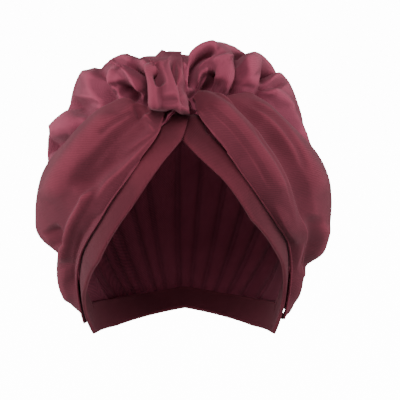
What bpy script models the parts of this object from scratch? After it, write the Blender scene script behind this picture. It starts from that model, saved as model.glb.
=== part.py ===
"""Turban headwrap in matte burgundy jersey, worn shape, open below for the head.

Metres, +Z up. The face opening looks along -Y and the origin is the inside top of the
crown, where it sits on the top of a head. Folds fan out from the knot at the front over
the top of the head to the nape, so every sheet is laid out by two numbers: the fan angle
round the line from knot to nape (0 right, 90 over the top, 180 left) and the run along it
(0 at the knot, 1 under the nape). The lift of a point is its distance off the head.
"""
import math

import bpy
import numpy as np
from mathutils import Vector

NAME = "turban_headwrap"

# Head hollow, half sizes from its centre
HEAD_HALF_W = 0.076
HEAD_HALF_D = 0.094
HEAD_RISE = 0.080
DROP_FRONT = 0.240
DROP_NAPE = 0.125
HEAD_SQUARENESS = 2.3

# The drop changes from front to nape along a direction's y, from its start over its span
DROP_START = -0.3
DROP_SPAN = 0.9
CENTRE = np.array([0.0, 0.0, -HEAD_RISE])

# Where the folds start and where they run to, as heights seen from the head's centre
KNOT_HEIGHT_DEG = 45.0
NAPE_HEIGHT_DEG = -72.0

# Cloth
FULL_LIFT = 0.037
WALL = 0.0016
BAND_THICK = 0.003
BAND_WIDTH = 0.018
BAND_OFF_HEAD = 0.0005
REST = 0.0012
CROWN_OFF_BAND = 0.0022
DRAPE_OFF_BAND = 0.0008
EDGE_ROLL = 0.0009
EDGE_ROLL_SHARE = 0.2

CROWN_START = 0.02
CELLS_A_PLEAT = 5
CROWN_ROWS = 20
CROWN_ROW_POWER = 1.6
FOLD_POWER = 0.75

# How far round a point a sheet looks for what lies under it, in degrees of fan and in run
LOOK_FAN = 3.0
LOOK_RUN = 0.012

# How often a search between two values halves them
HALVINGS = 30

# Runs at which the pleat table gives its fan angles and lifts
STATIONS = (0.03, 0.09, 0.15, 0.25, 0.50, 1.0)

# A row for each pleat of the crown, from the left edge over the top to the right edge.
# fan: angle of the crease at its left, at each station. lift: its crest, as a share of
# FULL_LIFT, at each station. cut: how far the crease at its left falls at the front and at
# the back, as a share of the crest. ends: the run at which a short crease has died out.
PLEATS = (
    ("left edge", (212, 205, 198, 192, 188, 180), (.25, .30, .36, .42, .52, .14), .30, .10, 2.0),
    ("low roll", (204, 190, 176, 167, 162, 160), (.40, .54, .66, .74, .70, .14), .40, .12, 2.0),
    ("left pouf", (196, 180, 159, 149, 144, 145), (.52, .72, .90, .96, .70, .14), .42, .10, 2.0),
    ("pouf rim", (191, 168, 147, 141, 138, 139), (.56, .86, 1.0, .97, .68, .14), .42, .10, 2.0),
    ("pouf leg", (182, 152, 139, 135, 133, 134), (.56, .86, 1.0, .97, .67, .14), .46, .00, 0.15),
    ("tab side", (172, 134, 129, 126, 125, 126), (.56, .86, .98, .95, .64, .14), .38, .12, 2.0),
    ("tab back", (130, 118, 116, 114, 114, 115), (.56, .84, .98, .92, .62, .14), .26, .06, 0.30),
    ("narrow fold", (104, 101, 100, 100, 103, 105), (.50, .56, .58, .60, .55, .14), .46, .12, 2.0),
    ("ear rim", (78, 84, 87, 88, 92, 95), (.56, .88, 1.0, .96, .60, .14), .50, .12, 2.0),
    ("ear fold", (46, 66, 76, 79, 82, 85), (.56, .90, 1.06, 1.0, .62, .14), .34, .00, 0.15),
    ("ear face", (8, 34, 62, 66, 71, 76), (.40, .76, 1.06, 1.0, .62, .14), .44, .00, 0.12),
    ("right lobe", (-20, 8, 46, 51, 60, 67), (.30, .50, 1.0, 1.03, .66, .14), .40, .12, 2.0),
    ("far lobe", (-28, -2, 34, 40, 48, 56), (.28, .44, .80, .90, .70, .14), .36, .10, 2.0),
    ("far roll", (-34, -10, 22, 29, 37, 45), (.26, .38, .64, .80, .72, .14), .40, .00, 0.28),
    ("under drape", (-38, -16, 10, 14, 23, 32), (.24, .28, .36, .46, .62, .14), .34, .10, 2.0),
    ("right low", (-42, -22, 0, 3, 8, 14), (.22, .25, .30, .36, .50, .14), .16, .06, 2.0),
)
RIGHT_EDGE = (-48, -30, -12, -8, -8, -2)

# Hem of the crown and drapes: how far above the edge it lies, as a share of BAND_WIDTH
HEM_OVER = 0.8
HEM_FANS = tuple(range(-20, 205, 5))
HEM_SEARCH = (0.3, 1.0)

# Drapes, a row for each cross line from the face edge up to the top fold. Low end: run, and
# height over the edge as a share of BAND_WIDTH. Top end: fan and run. Then four lifts from
# the low end to the top end, as shares of FULL_LIFT.
LEFT_DRAPE = (
    (.050, 1.85, 203, .074, .36, .36, .38, .38),
    (.105, 1.55, 190, .098, .34, .42, .50, .52),
    (.138, 1.25, 180, .118, .32, .46, .58, .60),
    (.191, 1.20, 179, .169, .28, .48, .62, .62),
    (.239, 1.18, 180, .229, .16, .49, .65, .62),
    (.311, 1.20, 180, .295, .16, .50, .69, .65),
    (.403, 1.22, 174, .370, .16, .52, .78, .73),
    (.470, 1.25, 169, .440, .16, .56, .86, .82),
    (.523, 1.25, 165, .510, .16, .60, .91, .86),
    (.560, 1.20, 163, .560, .16, .58, .90, .82),
    (.595, 1.10, 162, .605, .16, .48, .56, .66),
    (.645, .95, 161, .665, .16, .58, .60, .54),
    (.705, .80, 160, .745, .18, .62, .48, .36),
    (.752, .65, 158, .828, .16, .30, .28, .24),
)
RIGHT_FRONT_DRAPE = (
    (.034, 1.74, 24, .046, .42, .56, .58, .52),
    (.060, 1.58, 5, .075, .37, .55, .62, .54),
    (.120, 1.29, -14, .116, .35, .52, .62, .54),
    (.170, 1.10, -21, .175, .30, .49, .60, .54),
    (.249, 1.10, -23, .254, .16, .44, .56, .54),
    (.346, 1.00, -24, .323, .16, .41, .53, .54),
    (.425, .85, -22, .400, .16, .38, .50, .54),
    (.475, .90, -21, .460, .16, .35, .46, .50),
    (.523, 1.00, -12, .540, .16, .32, .42, .46),
    (.580, .95, -8, .600, .16, .32, .43, .46),
    (.640, .85, -5, .660, .16, .34, .46, .48),
    (.695, .75, -3, .720, .18, .36, .46, .44),
    (.748, .65, 1, .782, .16, .34, .40, .38),
)
RIGHT_BACK_DRAPE = (
    (.070, 2.26, 0, .080, .36, .40, .44, .44),
    (.110, 2.29, 7, .106, .32, .40, .54, .54),
    (.160, 2.16, 12, .140, .28, .42, .60, .60),
    (.200, 2.05, 8, .172, .27, .48, .63, .60),
    (.250, 1.97, 3, .215, .26, .49, .65, .60),
    (.320, 1.46, 3, .270, .26, .50, .70, .62),
    (.390, 1.10, 6, .330, .26, .54, .77, .68),
    (.450, 1.00, 12, .400, .26, .64, .84, .75),
    (.500, 1.10, 18, .470, .26, .74, .90, .80),
    (.550, 1.40, 20, .540, .24, .78, .90, .80),
    (.600, 1.53, 20, .610, .22, .72, .80, .70),
    (.650, 1.77, 20, .690, .16, .56, .60, .52),
    (.700, 1.67, 21, .760, .16, .50, .44, .34),
    (.755, 1.20, 22, .828, .22, .30, .30, .28),
)
DRAPE_CELLS = 11
DRAPE_ROWS = 20

# Fans between which a drape's low ends are looked for, over the edge first
LEFT_LOW_FANS = (150, 269)
RIGHT_LOW_FANS = (30, -89)

# How much a drape's columns crowd toward its two long edges, how many cross lines a look-up
# of its lift draws, and how far outside them it still answers
DRAPE_CROWDING = 0.35
DRAPE_LINES = 61
DRAPE_SLACK = 0.02

# How far the face edge and nape edge lie below the origin, by the turn from the front, as
# shares of FACE_DROP
FACE_DROP = 0.184
EDGE_TURNS = (-180, -130, -100, -87, -75, -60, -50, -42, -31, -22, -15, -7, 0,
              7, 17, 22, 31, 49, 61, 75, 87, 100, 130, 180)
EDGE_DROPS = (.935, .99, 1.0, .925, .855, .777, .712, .663, .549, .457, .375, .277, .207,
              .266, .348, .402, .505, .625, .690, .788, .897, 1.0, .99, .935)
BAND_LAP_TURN = 3.6
LAP_CLIMB = 0.0045
LAP_RISE = 0.0035
LAP_RUN = 0.15
LAP_TURNS = (11.0, 21.0)
BAND_STEPS = 56
BAND_CELLS = 3
BAND_LOOK_DEG = 0.5

# Knot wrap, a row for each cross line from the tuck below to the top: left side, crease
# before the narrow fold and right side as shares of KNOT_WIDTH, height as a share of
# HEAD_RISE, and lift as a share of FULL_LIFT
KNOT_WIDTH = 0.029
KNOT_ROWS = (
    (-.69, -.07, .10, -.306, .22),
    (-.79, .00, .14, -.285, .58),
    (-.83, .00, .155, -.206, .82),
    (-.83, .00, .155, -.087, 1.04),
    (-.845, -.03, .155, .037, 1.22),
    (-.86, -.10, .10, .150, 1.32),
    (-.845, -.21, .00, .237, 1.33),
    (-.775, -.31, -.14, .300, 1.27),
    (-.69, -.41, -.28, .337, 1.05),
)
KNOT_CELLS = 14
KNOT_STEPS = 14
KNOT_DEPTH = 0.012
KNOT_SPLIT = 0.72
KNOT_NARROW_SWELL = 0.6
KNOT_FOLD_POWER = 0.8
KNOT_TUCK = 1.0


def unit(v):
    return v / np.linalg.norm(v)


def height_dir(degrees, facing):
    angle = math.radians(degrees)
    return np.array([0.0, facing * math.cos(angle), math.sin(angle)])


KNOT_DIR = height_dir(KNOT_HEIGHT_DEG, -1)
NAPE_DIR = height_dir(NAPE_HEIGHT_DEG, 1)
MIDDLE = (KNOT_DIR + NAPE_DIR) / 2
AXIS = unit(KNOT_DIR - NAPE_DIR)
SIDE = np.array([1.0, 0.0, 0.0])
OVER = np.array([0.0, -AXIS[2], AXIS[1]])
OVER = OVER if OVER[1] > 0 else -OVER
HALF_CHORD = np.linalg.norm(KNOT_DIR - NAPE_DIR) / 2


def smooth(x):
    x = min(1.0, max(0.0, x))
    return x * x * (3 - 2 * x)


def curve(x, xs, ys):
    """A smooth curve through the points xs, ys."""
    x = min(xs[-1], max(xs[0], x))
    i = max(0, min(len(xs) - 2, int(np.searchsorted(xs, x)) - 1))
    before, after = max(0, i - 1), min(len(xs) - 1, i + 2)
    step = xs[i + 1] - xs[i]
    slope_a = (ys[i + 1] - ys[before]) / (xs[i + 1] - xs[before]) * step
    slope_b = (ys[after] - ys[i]) / (xs[after] - xs[i]) * step
    t = (x - xs[i]) / step
    return ((2 * t ** 3 - 3 * t * t + 1) * ys[i] + (t ** 3 - 2 * t * t + t) * slope_a
            + (3 * t * t - 2 * t ** 3) * ys[i + 1] + (t ** 3 - t * t) * slope_b)


def fan_direction(fan, run):
    """Unit direction from the head's centre at a fan angle and a run."""
    angle = math.radians(fan)
    across = math.cos(angle) * SIDE + math.sin(angle) * OVER
    reach = MIDDLE @ across
    rho = math.sqrt(1 - MIDDLE @ MIDDLE + reach * reach)
    start = math.atan2(reach, HALF_CHORD)
    g = start + (math.pi - 2 * start) * run
    return MIDDLE + AXIS * rho * math.cos(g) + across * (rho * math.sin(g) - reach)


def fan_and_run(direction):
    """Fan angle and run of a unit direction."""
    off = direction - MIDDLE
    flat = off - AXIS * (off @ AXIS)
    across = unit(flat)
    reach = MIDDLE @ across
    start = math.atan2(reach, HALF_CHORD)
    g = math.atan2(off @ across + reach, off @ AXIS)
    fan = math.degrees(math.atan2(across @ OVER, across @ SIDE))
    return (fan + 360 if fan < -90 else fan), (g - start) / (math.pi - 2 * start)


def head_rise(d):
    """How far the head's surface reaches over its centre, or below it, on a direction's side."""
    if d[2] >= 0:
        return HEAD_RISE
    return DROP_FRONT + (DROP_NAPE - DROP_FRONT) * smooth((d[1] - DROP_START) / DROP_SPAN)


def head_radius(d):
    """Distance of the head's surface from its centre along a direction."""
    rise = head_rise(d)
    p = HEAD_SQUARENESS
    total = abs(d[0] / HEAD_HALF_W) ** p + abs(d[1] / HEAD_HALF_D) ** p + abs(d[2] / rise) ** p
    return total ** (-1 / p)


def slant(direction):
    """How much longer a distance off the head is along a direction than square to it."""
    sizes = np.array([HEAD_HALF_W, HEAD_HALF_D, head_rise(direction)])
    share = np.abs(direction) * head_radius(direction) / sizes
    square = np.sign(direction) * share ** (HEAD_SQUARENESS - 1) / sizes
    return 1 / float(direction @ unit(square))


def on_head(direction, lift):
    return CENTRE + direction * (head_radius(direction) + lift)


def edge_drop(turn):
    return FACE_DROP * float(np.interp(turn, EDGE_TURNS, EDGE_DROPS))


def over_edge(fan, run):
    """Height over the edge of the head's surface there, as a share of BAND_WIDTH."""
    point = on_head(fan_direction(fan, run), 0.0)
    turn = math.degrees(math.atan2(point[0], -point[1]))
    return (point[2] + edge_drop(turn)) / BAND_WIDTH


def halve(inside, outside, is_inside):
    """Where is_inside stops being true between two values."""
    for _ in range(HALVINGS):
        middle = (inside + outside) / 2
        if is_inside(middle):
            inside = middle
        else:
            outside = middle
    return inside


HEM_RUNS = [halve(*HEM_SEARCH, lambda run: over_edge(fan, run) > HEM_OVER) for fan in HEM_FANS]


def hem_run(fan):
    return float(np.interp(fan, HEM_FANS, HEM_RUNS))


def cross_lines(table, fans):
    """A drape's rows with the fan of each low end worked out from its height over the edge."""
    rows = []
    for row in table:
        low_fan = halve(*fans, lambda fan: over_edge(fan, row[0]) > row[1])
        rows.append((low_fan, row[0]) + row[2:])
    return rows


def arch(t):
    """Cross shape of a fold, sharp at the creases and round at the crest."""
    return math.sin(math.pi * t) ** FOLD_POWER


def crown_crease_fans(run):
    fans = [curve(run, STATIONS, row[1]) for row in PLEATS]
    fans.append(curve(run, STATIONS, RIGHT_EDGE))
    return fans


def crease_cut(row, run):
    """How far the crease of a pleat's row falls at a run, as a share of the crest."""
    back = smooth((run - STATIONS[1]) / (STATIONS[4] - STATIONS[1]))
    dying = 1 - smooth((run / row[5] - 0.5) / 0.5)
    return (row[3] + (row[4] - row[3]) * back) * dying


def crown_lift(pleat, t, run):
    """Lift of the crown inside a pleat, t across it from one crease to the next."""
    row = PLEATS[pleat]
    after = PLEATS[min(pleat + 1, len(PLEATS) - 1)]
    crest = curve(run, STATIONS, row[2])
    before = PLEATS[max(pleat - 1, 0)]
    low_a = min(crest, curve(run, STATIONS, before[2])) * (1 - crease_cut(row, run))
    low_b = min(crest, curve(run, STATIONS, after[2])) * (1 - crease_cut(after, run))
    low = low_a + (low_b - low_a) * t
    return FULL_LIFT * (low + (crest - low) * arch(t))


def crown_lift_at(fan, run):
    """Lift of the crown's outside at a fan angle and run, or nothing beyond its edges."""
    fans = crown_crease_fans(run)
    if fan > fans[0] or fan < fans[-1] or run > hem_run(fan):
        return 0.0
    for i in range(len(PLEATS)):
        if fans[i] >= fan >= fans[i + 1]:
            return crown_lift(i, (fans[i] - fan) / (fans[i] - fans[i + 1]), run)
    return 0.0


def highest_under(lift_at, fan, run):
    """The highest lift of what lies under a point, looked for a little way round it."""
    return max(lift_at(fan + a * LOOK_FAN, run + b * LOOK_RUN) for a in (-1, 0, 1) for b in (-1, 0, 1))


def grid_sheet(name, cells, rows, place, thickness):
    """A grid shaped by place(across, along), both 0 to 1, and made a closed sheet."""
    bpy.ops.object.select_all(action="DESELECT")
    bpy.ops.mesh.primitive_grid_add(x_subdivisions=cells, y_subdivisions=rows, size=2)
    sheet = bpy.context.object
    sheet.name = name
    sheet.data.name = name
    for vertex in sheet.data.vertices:
        vertex.co = place((vertex.co.x + 1) / 2, (vertex.co.y + 1) / 2).tolist()
    outward = sum((face.center - Vector(CENTRE)).dot(face.normal) for face in sheet.data.polygons)
    if outward < 0:
        sheet.data.flip_normals()
    shell = sheet.modifiers.new("cloth", "SOLIDIFY")
    shell.thickness = thickness
    shell.offset = -1
    bpy.ops.object.modifier_apply(modifier=shell.name)
    return sheet


def off_band(direction, run, clear):
    """Least lift of a sheet's outside that clears the band under it."""
    clear = BAND_OFF_HEAD + BAND_THICK + WALL + clear
    clear += LAP_RISE * (1 - smooth((run - LAP_RUN) / LAP_RUN))
    return clear * slant(direction)


def crown_place(across, along):
    pleats = len(PLEATS)
    pleat = min(pleats - 1, int(across * pleats + 1e-6))
    t = across * pleats - pleat
    t = min(1.0, max(0.0, t))
    share = along ** CROWN_ROW_POWER
    run = CROWN_START + (hem_run(90) - CROWN_START) * share
    fans = crown_crease_fans(run)
    fan = fans[pleat] + (fans[pleat + 1] - fans[pleat]) * t
    run = CROWN_START + (hem_run(fan) - CROWN_START) * share
    direction = fan_direction(fan, run)
    lift = max(crown_lift(pleat, t, run), off_band(direction, run, CROWN_OFF_BAND))
    return on_head(direction, lift)


def drape_place(rows, lift_under):
    """Place function of a drape lofted through its cross lines."""
    steps = [i / (len(rows) - 1) for i in range(len(rows))]
    shares = (0.0, 1 / 3, 2 / 3, 1.0)

    def place(across, along):
        row = [curve(along, steps, [r[k] for r in rows]) for k in range(8)]
        s = 0.5 - 0.5 * math.cos(math.pi * across)
        s = DRAPE_CROWDING * s + (1 - DRAPE_CROWDING) * across
        fan = row[0] + (row[2] - row[0]) * s
        run = row[1] + (row[3] - row[1]) * s
        lift = FULL_LIFT * curve(s, shares, row[4:])
        edge = max(0.0, abs(2 * across - 1) - (1 - EDGE_ROLL_SHARE)) / EDGE_ROLL_SHARE
        lift = max(lift, highest_under(lift_under, fan, run) + WALL + REST)
        lift = lift - EDGE_ROLL * (1 - math.sqrt(max(0.0, 1 - edge * edge)))
        direction = fan_direction(fan, run)
        return on_head(direction, max(lift, off_band(direction, run, DRAPE_OFF_BAND)))

    return place


def drape_lift_at(rows):
    """Lift of a drape's outside at a fan angle and run, taken from its cross lines."""
    steps = [i / (len(rows) - 1) for i in range(len(rows))]
    shares = (0.0, 1 / 3, 2 / 3, 1.0)
    samples = []
    for j in range(DRAPE_LINES):
        row = [curve(j / (DRAPE_LINES - 1), steps, [r[k] for r in rows]) for k in range(8)]
        samples.append(row)
    fans_low = np.array([r[0] for r in samples])
    runs_low = np.array([r[1] for r in samples])
    fans_top = np.array([r[2] for r in samples])
    runs_top = np.array([r[3] for r in samples])

    def lift_at(fan, run):
        s = (fan - fans_low) / (fans_top - fans_low)
        off = np.abs(runs_low + (runs_top - runs_low) * s - run)
        off[(s < -DRAPE_SLACK) | (s > 1 + DRAPE_SLACK)] = 9.0
        j = int(np.argmin(off))
        if off[j] > DRAPE_SLACK:
            return 0.0
        return FULL_LIFT * curve(min(1, max(0, s[j])), shares, samples[j][4:])

    return lift_at


def edge_point(turn, side):
    """Point of the face edge on the head. Past the front centre an arm runs on straight."""
    if side * turn < 0:
        drop = edge_drop(0) - LAP_CLIMB * abs(turn)
    else:
        drop = edge_drop(turn)
    angle = math.radians(turn)
    flat = np.array([math.sin(angle), -math.cos(angle), 0.0])

    def within(reach):
        offset = flat * reach + np.array([0.0, 0.0, -drop]) - CENTRE
        return np.linalg.norm(offset) < head_radius(unit(offset))

    return flat * halve(0.0, 2 * HEAD_HALF_D, within) + np.array([0.0, 0.0, -drop])


def band_place(across, along):
    """The band starts under the knot at the right, goes round the nape and ends at the left."""
    turn = -BAND_LAP_TURN + (360 + 2 * BAND_LAP_TURN) * along
    side = 1 if turn < 180 else -1
    here = turn if turn < 180 else turn - 360
    point = edge_point(here, side)
    ahead = edge_point(here + BAND_LOOK_DEG, side) - edge_point(here - BAND_LOOK_DEG, side)
    outward = unit(point - CENTRE)
    upward = unit(np.cross(outward, ahead))
    spot = point + upward * BAND_WIDTH * across
    rise = LAP_RISE * smooth((here + LAP_TURNS[1]) / LAP_TURNS[0]) if side < 0 else 0.0
    return on_head(unit(spot - CENTRE), BAND_OFF_HEAD + BAND_THICK + rise)


def knot_place(across, along):
    steps = [i / (len(KNOT_ROWS) - 1) for i in range(len(KNOT_ROWS))]
    left, crease, right, height, lift = [curve(along, steps, [r[k] for r in KNOT_ROWS])
                                         for k in range(5)]
    if across <= KNOT_SPLIT:
        t = across / KNOT_SPLIT
        x = left + (crease - left) * (0.5 - 0.5 * math.cos(math.pi * t))
        sunk = 1 - math.sin(math.pi * t) ** KNOT_FOLD_POWER
    else:
        t = (across - KNOT_SPLIT) / (1 - KNOT_SPLIT)
        x = crease + (right - crease) * (0.5 - 0.5 * math.cos(math.pi * t))
        sunk = 1 - KNOT_NARROW_SWELL * math.sin(math.pi * t) ** KNOT_FOLD_POWER
    x = x * KNOT_WIDTH
    z = height * HEAD_RISE

    def below(y):
        off = np.array([x, -y, z]) - CENTRE
        return np.linalg.norm(off) - head_radius(unit(off)) < lift * FULL_LIFT

    y = halve(0.0, 2 * HEAD_HALF_D, below) - KNOT_DEPTH * sunk
    off = np.array([x, -y, z]) - CENTRE
    direction = unit(off)
    fan, run = fan_and_run(direction)
    need = max(highest_under(under, fan, run) for under in under_knot) + WALL + REST
    edge_on = (WALL + DRAPE_OFF_BAND * KNOT_TUCK) * (1 - smooth(along * KNOT_STEPS))
    need = max(need, off_band(direction, run, DRAPE_OFF_BAND - edge_on))
    return on_head(direction, max(np.linalg.norm(off) - head_radius(direction), need))


def cloth_material(name, colour, roughness=0.92):
    material = bpy.data.materials.new(name)
    material.use_nodes = True
    shader = material.node_tree.nodes["Principled BSDF"]
    shader.inputs["Base Color"].default_value = (*colour, 1.0)
    shader.inputs["Roughness"].default_value = roughness
    return material


for old in list(bpy.data.objects):
    bpy.data.objects.remove(old, do_unlink=True)

crown = grid_sheet("crown", CELLS_A_PLEAT * len(PLEATS), CROWN_ROWS, crown_place, WALL)
left_rows = cross_lines(LEFT_DRAPE, LEFT_LOW_FANS)
front_rows = cross_lines(RIGHT_FRONT_DRAPE, RIGHT_LOW_FANS)
back_rows = cross_lines(RIGHT_BACK_DRAPE, RIGHT_LOW_FANS)
left_drape = grid_sheet("left_drape", DRAPE_CELLS, DRAPE_ROWS,
                        drape_place(left_rows, crown_lift_at), WALL)
back_place = drape_place(back_rows, crown_lift_at)
right_back_drape = grid_sheet("right_back_drape", DRAPE_CELLS, DRAPE_ROWS, back_place, WALL)
back_lift_at = drape_lift_at(back_rows)


def under_front_drape(fan, run):
    over_crown = highest_under(crown_lift_at, fan, run) + WALL + REST
    back = back_lift_at(fan, run)
    return max(over_crown, back) if back > 0 else crown_lift_at(fan, run)


right_front_drape = grid_sheet("right_front_drape", DRAPE_CELLS, DRAPE_ROWS,
                               drape_place(front_rows, under_front_drape), WALL)
under_knot = (crown_lift_at, drape_lift_at(left_rows), drape_lift_at(front_rows))
face_band = grid_sheet("face_band", BAND_CELLS, BAND_STEPS, band_place, BAND_THICK)
knot_wrap = grid_sheet("knot_wrap", KNOT_CELLS, KNOT_STEPS, knot_place, WALL)

colours = {
    "crown": (0.125, 0.026, 0.040),
    "left_drape": (0.100, 0.020, 0.031),
    "right_front_drape": (0.102, 0.021, 0.032),
    "right_back_drape": (0.106, 0.022, 0.033),
    "face_band": (0.098, 0.019, 0.030),
    "knot_wrap": (0.122, 0.025, 0.039),
}
group = bpy.data.collections.new(NAME)
bpy.context.scene.collection.children.link(group)
for piece in (crown, left_drape, right_front_drape, right_back_drape, face_band, knot_wrap):
    for holder in list(piece.users_collection):
        holder.objects.unlink(piece)
    group.objects.link(piece)
    piece.data.materials.append(cloth_material(piece.name + "_cloth", colours[piece.name]))
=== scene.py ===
"""Turban headwrap in matte burgundy jersey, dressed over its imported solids.

Metres, +Z up. The face opening looks along -Y, and the origin is the inside top of the
crown, where the wrap sits on a head. A place on the head is a fan angle round the line from
the knot to the nape (0 right, 90 over the top, 180 left) and a run along that line (0 at the
knot, 1 under the nape), and a lift is a distance off the head's surface. What shows in front
is placed on a front view, in millimetres across and up from its middle.
"""
import math

import bpy
import numpy as np
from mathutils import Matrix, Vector, kdtree


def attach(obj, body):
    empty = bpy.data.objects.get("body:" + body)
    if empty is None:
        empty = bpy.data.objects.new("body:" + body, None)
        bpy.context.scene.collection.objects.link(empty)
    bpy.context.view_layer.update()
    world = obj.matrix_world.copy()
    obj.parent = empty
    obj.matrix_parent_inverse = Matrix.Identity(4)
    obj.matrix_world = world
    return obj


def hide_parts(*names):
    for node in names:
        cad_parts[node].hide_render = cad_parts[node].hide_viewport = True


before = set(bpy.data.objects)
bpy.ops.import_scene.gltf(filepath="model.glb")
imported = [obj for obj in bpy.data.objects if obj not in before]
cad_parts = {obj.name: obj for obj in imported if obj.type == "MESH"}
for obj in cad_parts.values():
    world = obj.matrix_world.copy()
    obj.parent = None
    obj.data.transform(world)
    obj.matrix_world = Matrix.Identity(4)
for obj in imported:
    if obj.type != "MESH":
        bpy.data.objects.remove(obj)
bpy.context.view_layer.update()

# The face band. A strip of the same jersey, folded double, that lies on the head round the
# face and the nape. Its two ends cross in front, the left one over the right one, and go
# up under the knot. All the other pieces are laid out from the head's surface, made here.
HEAD_HALF_W = 0.076
HEAD_HALF_D = 0.094
HEAD_RISE = 0.080
DROP_FRONT = 0.240
DROP_NAPE = 0.125
HEAD_SQUARENESS = 2.3
DROP_START = -0.3
DROP_SPAN = 0.9
CENTRE = np.array([0.0, 0.0, -HEAD_RISE])
KNOT_HEIGHT_DEG = 45.0
NAPE_HEIGHT_DEG = -72.0
HALVINGS = 30
BAND_THICK = 0.003
BAND_SLACK = 0.0004
BAND_WIDTH = 0.018
BAND_OFF_HEAD = 0.0005
BAND_SWELL = 0.0006
BAND_FLAT = 0.12
BAND_SWELL_POWER = 6
BAND_EASE_DEG = 4.0
BAND_CELLS = 12
BAND_ROWS = 360

# How far the edge lies below the origin, by the turn from the front, as shares of FACE_DROP
FACE_DROP = 0.184
EDGE_TURNS = (-180, -130, -100, -87, -75, -60, -50, -42, -31, -22, -15, -7, 0,
              7, 17, 22, 31, 49, 61, 75, 87, 100, 130, 180)
EDGE_DROPS = (.935, .99, 1.0, .925, .855, .777, .712, .663, .549, .457, .375, .277, .207,
              .266, .348, .402, .505, .625, .690, .788, .897, 1.0, .99, .935)

# The crossed ends: how far each runs on past the middle, and how the left one climbs and
# lifts over the right one
BAND_LAP_TURN = 3.6
LAP_CLIMB = 0.0045
LAP_RISE = 0.0035
LAP_RUN = 0.15
LAP_TURNS = (11.0, 21.0)
LAP_FADE_DEG = 8.0


def unit(v):
    return v / np.linalg.norm(v, axis=-1, keepdims=True)


def smooth(x):
    x = np.clip(x, 0.0, 1.0)
    return x * x * (3 - 2 * x)


def curve(x, xs, ys):
    """A smooth curve through the points xs, ys, at an array of places."""
    xs = np.asarray(xs, float)
    ys = np.asarray(ys, float)
    x = np.clip(x, xs[0], xs[-1])
    i = np.clip(np.searchsorted(xs, x) - 1, 0, len(xs) - 2)
    before = np.maximum(0, i - 1)
    after = np.minimum(len(xs) - 1, i + 2)
    step = xs[i + 1] - xs[i]
    slope_a = (ys[i + 1] - ys[before]) / (xs[i + 1] - xs[before]) * step
    slope_b = (ys[after] - ys[i]) / (xs[after] - xs[i]) * step
    t = (x - xs[i]) / step
    return ((2 * t ** 3 - 3 * t * t + 1) * ys[i] + (t ** 3 - 2 * t * t + t) * slope_a
            + (3 * t * t - 2 * t ** 3) * ys[i + 1] + (t ** 3 - t * t) * slope_b)


def height_dir(degrees, facing):
    angle = math.radians(degrees)
    return np.array([0.0, facing * math.cos(angle), math.sin(angle)])


KNOT_DIR = height_dir(KNOT_HEIGHT_DEG, -1)
NAPE_DIR = height_dir(NAPE_HEIGHT_DEG, 1)
MIDDLE = (KNOT_DIR + NAPE_DIR) / 2
AXIS = unit(KNOT_DIR - NAPE_DIR)
SIDE = np.array([1.0, 0.0, 0.0])
OVER = np.array([0.0, -AXIS[2], AXIS[1]])
OVER = OVER if OVER[1] > 0 else -OVER
HALF_CHORD = float(np.linalg.norm(KNOT_DIR - NAPE_DIR) / 2)


def fan_direction(fan, run):
    """Directions from the head's centre, by fan angle round the knot and run to the nape."""
    angle = np.radians(fan)[..., None]
    across = np.cos(angle) * SIDE + np.sin(angle) * OVER
    reach = across @ MIDDLE
    rho = np.sqrt(1 - MIDDLE @ MIDDLE + reach * reach)
    start = np.arctan2(reach, HALF_CHORD)
    g = start + (math.pi - 2 * start) * run
    return (MIDDLE + AXIS * (rho * np.cos(g))[..., None]
            + across * (rho * np.sin(g) - reach)[..., None])


def fan_and_run(direction):
    """Fan angles and runs of unit directions."""
    off = direction - MIDDLE
    along = off @ AXIS
    across = unit(off - AXIS * along[..., None])
    reach = across @ MIDDLE
    start = np.arctan2(reach, HALF_CHORD)
    g = np.arctan2(np.sum(off * across, axis=-1) + reach, along)
    fan = np.degrees(np.arctan2(across @ OVER, across @ SIDE))
    return np.where(fan < -90, fan + 360, fan), (g - start) / (math.pi - 2 * start)


def head_rise(d):
    """How far the head's surface reaches over its centre, or below it, on a direction's side."""
    drop = DROP_FRONT + (DROP_NAPE - DROP_FRONT) * smooth((d[..., 1] - DROP_START) / DROP_SPAN)
    return np.where(d[..., 2] >= 0, HEAD_RISE, drop)


def head_radius(d):
    """Distances of the head's surface from its centre along directions."""
    p = HEAD_SQUARENESS
    total = (np.abs(d[..., 0] / HEAD_HALF_W) ** p + np.abs(d[..., 1] / HEAD_HALF_D) ** p
             + np.abs(d[..., 2] / head_rise(d)) ** p)
    return total ** (-1 / p)


def slant(d):
    """How much longer a distance off the head is along a direction than square to it."""
    rise = head_rise(d)
    sizes = np.stack([np.full_like(rise, HEAD_HALF_W), np.full_like(rise, HEAD_HALF_D), rise], axis=-1)
    share = np.abs(d) * head_radius(d)[..., None] / sizes
    square = unit(np.sign(d) * share ** (HEAD_SQUARENESS - 1) / sizes)
    return 1 / np.sum(d * square, axis=-1)


def on_head(direction, lift):
    return CENTRE + direction * (head_radius(direction) + lift)[..., None]


def off_head(points):
    """Directions of points from the head's centre, and their lifts off its surface."""
    direction = unit(points - CENTRE)
    return direction, np.linalg.norm(points - CENTRE, axis=-1) - head_radius(direction)


def edge_drop(turn):
    return FACE_DROP * np.interp(turn, EDGE_TURNS, EDGE_DROPS)


def over_edge(fan, run):
    """Height over the face edge of the head's surface, as a share of BAND_WIDTH."""
    point = on_head(fan_direction(np.asarray(fan, float), np.asarray(run, float)), np.zeros(np.shape(fan)))
    turn = np.degrees(np.arctan2(point[..., 0], -point[..., 1]))
    return (point[..., 2] + edge_drop(turn)) / BAND_WIDTH


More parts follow.
